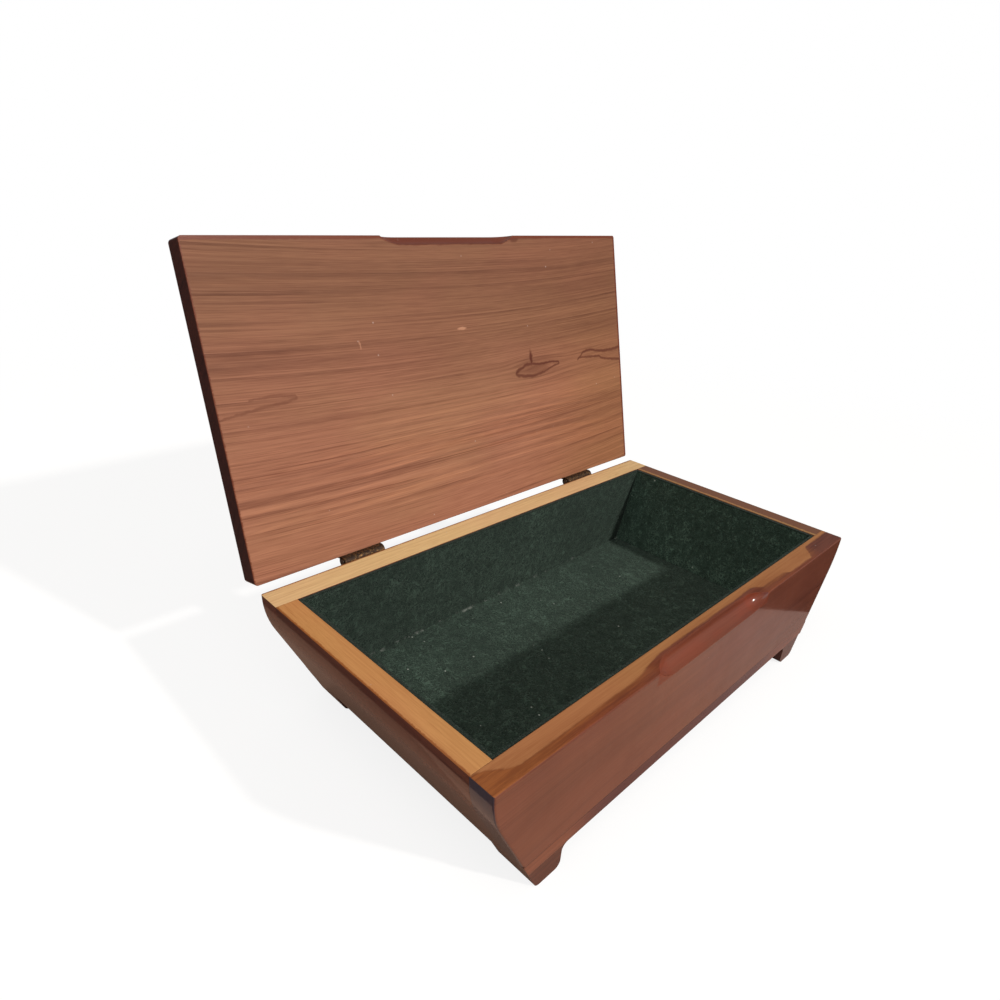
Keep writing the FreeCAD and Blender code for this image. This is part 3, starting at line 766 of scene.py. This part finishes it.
    crept = bench.mix(0.7, stained["Color"], photo_colour(108, 50, 30))
    # The lid's ends are darkened further, as dark varnish and as painted shade
    sides = bench.step(bench.math("ABSOLUTE", facing[0]), 0.35, 0.75)
    edges = bench.mix(1.0, stained["Color"], (0.34, 0.24, 0.26), "MULTIPLY")
    in_scoop = bench.math("MULTIPLY", at_notch, bench.step(from_hinge, 113.4, 114.6))
    thick = bench.math("MAXIMUM", under, bench.math("MULTIPLY", in_scoop, bench.step(depth, 6.0, 8.0, 1.0, 0.0)))
    crept = bench.mix(bench.math("MULTIPLY", in_scoop, 0.7), crept, photo_colour(92, 44, 32))
    colour = bench.mix(bench.math("MULTIPLY", sides, bench.step(depth, 0.1, 0.8)), crept, edges)
    colour = bench.mix(bench.step(depth, 8.6, 10.0), colour, stained["Color"])
    colour = bench.mix(bench.math("MULTIPLY", wear["Mask"], 0.22), colour, tuple(cedar.run_over))
    colour = bench.mix(inside, colour, wood)
    colour = bench.mix(bench.math("MULTIPLY", handling["Dust"], 0.35), colour, (0.60, 0.52, 0.46))

    varnished = bench.math("SUBTRACT", 1.0, inside)
    roughness = bench.blend(varnished, bench.step(bare["Fibre"], 0.0, 1.0, 0.52, 0.68), bench.step(handling["Smear"], 0.3, 0.75, 0.36, 0.5))
    coat = bench.math("MULTIPLY", bench.math("MULTIPLY", varnished, cedar.varnish), bench.step(thick, 0.0, 1.0, 1.0, 0.12))
    relief = bench.math("ADD", bench.math("MULTIPLY", bare["Height"], 1.2), bench.math("MULTIPLY", handling["Wave"], 1.0))
    relief = bench.math("SUBTRACT", relief, bench.math("MULTIPLY", dark, 0.4))
    normal = bench.add(
        "ShaderNodeBump", None,
        {"Strength": 0.40, "Distance": 0.10 * MM, "Height": relief, "Normal": wear["Normal"]},
    ).outputs[0]
    finish_surface(
        bench,
        **{
            "Base Color": colour, "Roughness": roughness, "Normal": normal, "Coat Weight": coat,
            "Coat Roughness": 0.09, "Coat IOR": 1.5, "Specular IOR Level": 0.2,
        },
    )
    return material


class TRINKET_OT_finish_lid(bpy.types.Operator):
    """Leave the lid's inside bare and varnish its edges and outside"""

    bl_idname = "trinket.finish_lid"
    bl_label = "Finish Lid"

    def execute(self, context):
        put_on(lid_finish(), "lid_board")
        return {"FINISHED"}


# ---------------------------------------------------------------- the hinges


def aged_metal(name, bare, film, cover, metal_roughness):
    """Metal under a mottled film that is rubbed away on its arrises."""
    material, bench = new_material(name)
    place = bench.place()
    wear = bench.group(effect("edge wear"), {"Vector": place, "Width": 0.25 * MM, "Amount": 1.0})
    mottle = bench.noise(place, scale=900.0, detail=5.0, roughness=0.7, distortion=0.4)
    pits = bench.noise(place, scale=2600.0, detail=2.0)
    kept = bench.step(mottle, cover - 0.36, cover - 0.10, 1.0, 0.0)
    kept = bench.math("MULTIPLY", kept, bench.math("SUBTRACT", 1.0, bench.math("MULTIPLY", wear["Mask"], 0.75)))
    colour = bench.mix(kept, bare, film)
    roughness = bench.blend(kept, metal_roughness, 0.62)
    relief = bench.math("ADD", mottle, bench.math("MULTIPLY", pits, 0.6))
    normal = bench.add(
        "ShaderNodeBump", None,
        {"Strength": 0.5, "Distance": 0.05 * MM, "Height": relief, "Normal": wear["Normal"]},
    ).outputs[0]
    finish_surface(
        bench, **{"Base Color": colour, "Roughness": roughness, "Metallic": bench.blend(kept, 1.0, 0.75), "Normal": normal}
    )
    return material


class TRINKET_OT_finish_hinges(bpy.types.Operator):
    """Age the brass of the hinges and screws and the steel of their pins"""

    bl_idname = "trinket.finish_hinges"
    bl_label = "Finish Hinges"

    def execute(self, context):
        hinges = context.scene.trinket_hinges
        brass = aged_metal("aged brass", tuple(hinges.brass), tuple(hinges.patina), hinges.film, 0.34)
        steel = aged_metal("hinge pin steel", tuple(hinges.steel), tuple(hinges.patina), 0.6, 0.30)
        for side in ("left", "right"):
            put_on(brass, f"{side}_hinge_box_leaf", f"{side}_hinge_lid_leaf")
            put_on(brass, f"{side}_hinge_box_screws", f"{side}_hinge_lid_screws")
            put_on(steel, f"{side}_hinge_pin")
        return {"FINISHED"}


# ---------------------------------------------------------------- the felt lining


def felt_material():
    felt = bpy.context.scene.trinket_felt
    material, bench = new_material("green felt")
    place = bench.place()
    fibre = bench.group(effect("felt fibre"), {"Vector": place})
    body = tuple(felt.colour)
    shade = bench.step(fibre["Tuft"], 0.30, 0.70)
    colour = bench.mix(shade, toned(body, 0.56), toned(body, 1.06))
    patch = bench.noise(place, scale=26.0, detail=4.0, roughness=0.6)
    worn = bench.step(patch, 0.40, 0.66)
    colour = bench.mix(bench.math("MULTIPLY", worn, 0.28), colour, bench.mix(1.0, colour, (1.35, 1.30, 1.30), "MULTIPLY"))
    raised = bench.math("MULTIPLY", fibre["Fibre"], bench.step(worn, 0.0, 1.0, 0.42, 0.66))
    colour = bench.mix(raised, colour, tuple(felt.fibre))
    colour = bench.mix(bench.math("MULTIPLY", fibre["Lint"], 0.85), colour, tuple(felt.lint))
    # Lint gathers along the seam under the back wall
    off_seam = bench.vector("LENGTH", bench.point(
        0.0, bench.math("SUBTRACT", bench.parts(place)[1], BACK_INSIDE - felt.thickness),
        bench.math("SUBTRACT", bench.parts(place)[2], FLOOR + felt.thickness),
    ))
    wisp = bench.noise(place, scale=210.0, detail=4.0, roughness=0.7)
    caught = bench.math("MULTIPLY", bench.step(off_seam, 0.3 * MM, 1.3 * MM, 0.7, 0.0), bench.step(wisp, 0.53, 0.64))
    colour = bench.mix(caught, colour, toned(felt.lint, 0.48))
    # The nap of the back wall leans away from the light
    # Painted shade: the back wall's felt, which faces the front, is darkened
    back_wall_painted_shade = bench.step(bench.facing()[1], -0.8, -0.4, 0.55, 0.0)
    colour = bench.mix(back_wall_painted_shade, colour, bench.mix(1.0, colour, (0.56, 0.54, 0.56), "MULTIPLY"))
    # Painted light: the right end's felt, which faces left, is lightened
    right_end_painted_light = bench.step(bench.facing()[0], -0.9, -0.5, 0.6, 0.0)
    colour = bench.mix(right_end_painted_light, colour, bench.mix(1.0, colour, (1.9, 1.95, 1.95), "MULTIPLY"))
    # Painted shade: the felt's top edge just under the rim is darkened
    rim_edge_painted_shade = bench.step(bench.parts(place)[2], RIM - 1.0 * MM, RIM - 0.5 * MM, 0.0, 0.75)
    colour = bench.mix(rim_edge_painted_shade, colour, toned(body, 0.30))
    normal = bench.add(
        "ShaderNodeBump", None, {"Strength": 1.0, "Distance": 0.35 * MM, "Height": fibre["Height"]}
    ).outputs[0]
    finish_surface(
        bench,
        **{
            "Base Color": colour, "Roughness": 0.95, "Normal": normal, "Specular IOR Level": 0.08,
            "Sheen Weight": 0.12, "Sheen Roughness": 0.6, "Sheen Tint": (0.60, 0.72, 0.64, 1.0),
        },
    )
    return material


def clouds(name, size):
    texture = bpy.data.textures.new(name, "CLOUDS")
    texture.noise_scale = size
    texture.noise_depth = 2
    return texture


def trim(plane_point, plane_normal, fill):
    """Cut away what lies beyond a plane, on the outer side that the normal points to."""
    bpy.ops.mesh.select_all(action="SELECT")
    bpy.ops.mesh.bisect(plane_co=plane_point, plane_no=plane_normal, clear_outer=True, use_fill=fill)


def apply_modifiers(piece):
    for modifier in list(piece.modifiers):
        bpy.ops.object.modifier_apply(modifier=modifier.name)


def calm_border(piece, turn, size, margin):
    """Mark the points near the sheet's border, where the glue holds it flat."""
    group = piece.vertex_groups.new(name="free")
    back = Matrix.LocRotScale(None, turn, None).to_3x3().transposed()
    middle = sum((Vector(corner) for corner in piece.bound_box), Vector()) / 8
    for point in piece.data.vertices:
        flat = back @ (point.co - middle)
        inside = min(size[0] / 2 - abs(flat.x), size[1] / 2 - abs(flat.y))
        group.add([point.index], max(0.0, min(1.0, inside / margin)), "REPLACE")


def felt_sheet(name, centre, turn, size, trims, seed):
    """One glued piece of felt: a gridded sheet, rippled, given its thickness and cut to fit."""
    felt = bpy.context.scene.trinket_felt
    bpy.ops.object.select_all(action="DESELECT")
    cells = [max(4, round(side / felt.cell)) for side in size]
    bpy.ops.mesh.primitive_grid_add(x_subdivisions=cells[0], y_subdivisions=cells[1], size=1.0)
    piece = bpy.context.object
    piece.name = piece.data.name = name
    piece.scale = (size[0], size[1], 1.0)
    piece.rotation_euler = turn
    piece.location = centre
    bpy.ops.object.transform_apply(location=True, rotation=True, scale=True)
    calm_border(piece, Euler(turn), size, 4 * MM)
    draw = random.Random(seed)
    for label, scale, strength in (("ripple", 16 * MM, felt.ripple), ("nap", 2.2 * MM, felt.nap)):
        move = piece.modifiers.new(label, "DISPLACE")
        move.texture = clouds(f"{name} {label}", scale * draw.uniform(0.9, 1.1))
        move.texture_coords = "LOCAL"
        move.strength = strength
        move.mid_level = 0.5
        move.vertex_group = "free"
    wall = piece.modifiers.new("thickness", "SOLIDIFY")
    wall.thickness = felt.thickness
    wall.offset = 0.0
    apply_modifiers(piece)
    bpy.ops.object.mode_set(mode="EDIT")
    for point, normal in trims:
        trim(point, normal, True)
    bpy.ops.object.mode_set(mode="OBJECT")
    soft = piece.modifiers.new("cut edge", "BEVEL")
    soft.width = felt.edge
    soft.segments = 2
    soft.limit_method = "ANGLE"
    soft.angle_limit = math.radians(50)
    apply_modifiers(piece)
    bpy.ops.object.shade_smooth()
    piece.vertex_groups.clear()
    piece.data.materials.append(bpy.data.materials["green felt"])
    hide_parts(name.replace("_lining", "_felt"))
    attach(piece, "box")
    return piece


class TRINKET_OT_line_with_felt(bpy.types.Operator):
    """Glue a piece of felt to the floor, to both long walls and to both ends"""

    bl_idname = "trinket.line_with_felt"
    bl_label = "Line with Felt"

    def execute(self, context):
        felt = context.scene.trinket_felt
        felt_material()
        slope = felt.end_slope
        snug = felt.clearance - felt.seam
        spare = 2 * MM
        up, down = Vector((0, 0, 1)), Vector((0, 0, -1))

        # The floor, whose ends follow the slope of the box's ends
        low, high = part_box("floor_felt")
        middle = (low + high) / 2
        size = (high.x - low.x, high.y - low.y)
        trims = [
            (Vector((end * size[0] / 2, 0, high.z)), Vector((end * math.cos(slope), 0, -math.sin(slope))))
            for end in (-1, 1)
        ]
        felt_sheet(
            "floor_lining", middle, (0, 0, 0), (size[0] + spare, size[1]), trims,
            11,
        )

        # The long walls, whose ends follow it too
        for side, name in ((1, "front"), (-1, "back")):
            low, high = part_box(f"{name}_wall_felt")
            middle = (low + high) / 2
            foot = low.z - snug
            tall = high.z - foot
            top = high.x - low.x
            trims = [
                (Vector((end * top / 2, 0, high.z)), Vector((end * math.cos(slope), 0, -math.sin(slope))))
                for end in (-1, 1)
            ]
            trims += [(Vector((0, 0, foot)), down), (Vector((0, 0, high.z)), up)]
            felt_sheet(
                f"{name}_wall_lining", middle, (math.radians(-90 * side), 0, 0), (top + spare, tall + spare),
                trims, 20 + side,
            )

        # The ends, leaning outwards towards the rim
        for side, name in ((-1, "left"), (1, "right")):
            low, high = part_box(f"{name}_end_felt")
            foot = low.z - snug
            tall = (high.z - foot) / math.cos(slope)
            wide = high.y - low.y + 2 * snug
            middle = (low + high) / 2
            turn = Matrix.Rotation(-side * (math.radians(90) - slope), 3, "Y").to_euler()
            trims = [(Vector((0, 0, foot)), down), (Vector((0, 0, high.z)), up)]
            felt_sheet(
                f"{name}_end_lining", middle, turn, (tall + spare, wide), trims,
                30 + side,
            )
        return {"FINISHED"}


# ---------------------------------------------------------------- the stage


def aim(piece, target):
    piece.rotation_euler = (Vector(target) - piece.location).to_track_quat("-Z", "Y").to_euler()


def add_table(stage):
    """A pale table that runs out to white, with soft shadows under the box."""
    bpy.ops.object.select_all(action="DESELECT")
    bpy.ops.mesh.primitive_circle_add(vertices=96, radius=3.0, fill_type="NGON", location=(0, 0, 0))
    table = bpy.context.object
    table.name = table.data.name = "table"
    material, bench = new_material("pale table")
    place = bench.place()
    tooth = bench.noise(place, scale=900.0, detail=3.0)
    tint = bench.mix(bench.step(tooth, 0.3, 0.7, 0.0, 0.06), tuple(stage.table), (0.70, 0.69, 0.68))
    lit = bench.add("ShaderNodeBsdfDiffuse", None, {"Color": bench.mix(1.0, tint, (0.25, 0.25, 0.25), "MULTIPLY")})
    glow = bench.add("ShaderNodeEmission", None, {"Color": (1.0, 1.0, 1.0), "Strength": 0.83})
    near = bench.add("ShaderNodeAddShader", None, {0: lit.outputs[0], 1: glow.outputs[0]})
    white = bench.add("ShaderNodeEmission", None, {"Color": (1.0, 1.0, 1.0), "Strength": 1.0})
    away = bench.vector("LENGTH", place)
    seen = bench.add("ShaderNodeMixShader", None, {0: bench.step(away, 0.30, 0.75), 1: near.outputs[0], 2: white.outputs[0]})
    path = bench.add("ShaderNodeLightPath").outputs
    # Painted reflection: glossy rays see the table as warm brown, redder left of the box where its shadow lies; other
    # rays see a darker table
    painted_reflection_tone = bench.mix(bench.step(bench.parts(place)[0], -0.03, 0.10), (0.43, 0.27, 0.20), (0.43, 0.33, 0.30))
    bounce_and_painted_reflection = bench.mix(path["Is Glossy Ray"], (0.50, 0.44, 0.40), painted_reflection_tone)
    other = bench.add("ShaderNodeBsdfDiffuse", None, {"Color": bounce_and_painted_reflection})
    final = bench.add("ShaderNodeMixShader", None, {0: path["Is Camera Ray"], 1: other.outputs[0], 2: seen.outputs[0]})
    bench.add("ShaderNodeOutputMaterial", None, {"Surface": final.outputs[0]})
    table.data.materials.append(material)


def add_flag(name, centre, turn, size, colour):
    """A dark card that only shows as a reflection in the varnish."""
    bpy.ops.object.select_all(action="DESELECT")
    bpy.ops.mesh.primitive_plane_add(size=1.0, location=centre, rotation=turn)
    card = bpy.context.object
    card.name = card.data.name = name
    card.scale = (size[0], size[1], 1.0)
    bpy.ops.object.transform_apply(location=True, rotation=True, scale=True)
    material, bench = new_material(name)
    dark = bench.add("ShaderNodeEmission", None, {"Color": colour, "Strength": 1.0})
    bench.add("ShaderNodeOutputMaterial", None, {"Surface": dark.outputs[0]})
    card.data.materials.append(material)
    for view in ("visible_camera", "visible_diffuse", "visible_shadow", "visible_transmission"):
        setattr(card, view, False)


def add_sky(stage):
    """White behind the box, and soft light from all round for everything else."""
    world = bpy.data.worlds.new("studio")
    world.use_nodes = True
    world.node_tree.nodes.clear()
    bench = Bench(world.node_tree)
    up = bench.parts(bench.add("ShaderNodeTexCoord").outputs["Generated"])[2]
    tone = bench.mix(bench.step(up, -0.1, 0.9), (0.62, 0.64, 0.70), (1.0, 0.97, 0.92))
    soft = bench.add("ShaderNodeBackground", None, {"Color": tone, "Strength": stage.fill})
    white = bench.add("ShaderNodeBackground", None, {"Color": (1.0, 1.0, 1.0), "Strength": 1.0})
    camera_ray = bench.add("ShaderNodeLightPath").outputs["Is Camera Ray"]
    final = bench.add("ShaderNodeMixShader", None, {0: camera_ray, 1: soft.outputs[0], 2: white.outputs[0]})
    bench.add("ShaderNodeOutputWorld", None, {"Surface": final.outputs[0]})
    bpy.context.scene.world = world


def add_lights(stage):
    key_data = bpy.data.lights.new("key", "SUN")
    key_data.energy = stage.key
    key_data.angle = stage.key_softness
    key_data.color = (1.0, 0.965, 0.92)
    key = bpy.data.objects.new("key", key_data)
    flat = math.cos(stage.key_elevation)
    towards = Vector((
        flat * math.sin(stage.key_azimuth), -flat * math.cos(stage.key_azimuth), math.sin(stage.key_elevation)
    ))
    key.location = towards
    aim(key, (0, 0, 0))
    bpy.context.scene.collection.objects.link(key)

    soft_data = bpy.data.lights.new("overhead", "AREA")
    soft_data.energy = stage.overhead
    soft_data.shape = "RECTANGLE"
    soft_data.size = 0.9
    soft_data.size_y = 0.6
    soft_data.color = (1.0, 0.98, 0.95)
    soft = bpy.data.objects.new("overhead", soft_data)
    soft.location = (-0.45, -0.15, 0.85)
    aim(soft, (0, 0, 0.05))
    bpy.context.scene.collection.objects.link(soft)


def add_camera():
    """The photograph's own camera, solved from the box's straight edges."""
    data = bpy.data.cameras.new("photo camera")
    data.sensor_width = 36.0
    data.lens = 24.53
    data.shift_x = 0.0017
    data.shift_y = 0.0215
    data.clip_start = 0.01
    data.clip_end = 20.0
    data.dof.use_dof = False
    camera = bpy.data.objects.new("photo camera", data)
    right = Vector((0.71020357, -0.70101057, 0.06476934))
    down = Vector((-0.27143249, -0.35755341, -0.89357706))
    ahead = Vector((0.64956546, 0.61704112, -0.44421275))
    turn = Matrix((right, -down, -ahead)).transposed()
    camera.matrix_world = Matrix.Translation(Vector((-206.08, -142.13, 194.91)) * MM) @ turn.to_4x4()
    bpy.context.scene.collection.objects.link(camera)
    bpy.context.scene.camera = camera


class TRINKET_OT_set_stage(bpy.types.Operator):
    """Set the pale table, the studio lights and the photograph's camera"""

    bl_idname = "trinket.set_stage"
    bl_label = "Set Stage"

    def execute(self, context):
        stage = context.scene.trinket_stage
        add_camera()
        add_table(stage)
        flat, upright = (0, 0, 0), (math.radians(90), 0, 0)
        # Painted dark reflections: the left card stands in for the table shaded by the box, the back and right cards
        # for darker surroundings
        add_flag("dark card, left", (-0.3675, 0.10, 0.0004), flat, (0.465, 0.80), (0.045, 0.034, 0.032))
        add_flag("dark card, back", (-0.40, 0.50, 0.13), upright, (0.60, 0.26), (0.045, 0.034, 0.032))
        add_flag(
            "dark card, right", (0.4707, -0.1334, 0.0004), (0, 0, math.radians(-44)), (0.57, 0.80),
            (0.035, 0.022, 0.018),
        )
        add_sky(stage)
        add_lights(stage)
        context.scene.view_settings.view_transform = "Standard"
        context.scene.view_settings.look = "None"
        return {"FINISHED"}


# ---------------------------------------------------------------- the add-on

STEPS = (
    TRINKET_OT_finish_boards, TRINKET_OT_finish_lid, TRINKET_OT_finish_hinges,
    TRINKET_OT_line_with_felt, TRINKET_OT_set_stage,
)
SETTINGS = (
    ("trinket_cedar", CedarSettings), ("trinket_felt", FeltSettings),
    ("trinket_hinges", HingeSettings), ("trinket_stage", StageSettings),
)


class TRINKET_PT_workshop(bpy.types.Panel):
    """Settings and steps of the trinket box"""

    bl_idname = "TRINKET_PT_workshop"
    bl_label = "Trinket Box"
    bl_space_type = "VIEW_3D"
    bl_region_type = "UI"
    bl_category = "Trinket Box"

    def draw(self, context):
        for name, kind in SETTINGS:
            box = self.layout.box()
            box.label(text=kind.__doc__)
            for setting in kind.__annotations__:
                box.prop(getattr(context.scene, name), setting)
        for step in STEPS:
            self.layout.operator(step.bl_idname)


def register():
    for name, kind in SETTINGS:
        bpy.utils.register_class(kind)
        setattr(bpy.types.Scene, name, bpy.props.PointerProperty(type=kind))
    for item in (*STEPS, TRINKET_PT_workshop):
        bpy.utils.register_class(item)


def unregister():
    for item in (TRINKET_PT_workshop, *reversed(STEPS)):
        bpy.utils.unregister_class(item)
    for name, kind in reversed(SETTINGS):
        delattr(bpy.types.Scene, name)
        bpy.utils.unregister_class(kind)


def main():
    register()
    for step in STEPS:
        module, action = step.bl_idname.split(".")
        getattr(getattr(bpy.ops, module), action)()


if __name__ == "__main__":
    main()
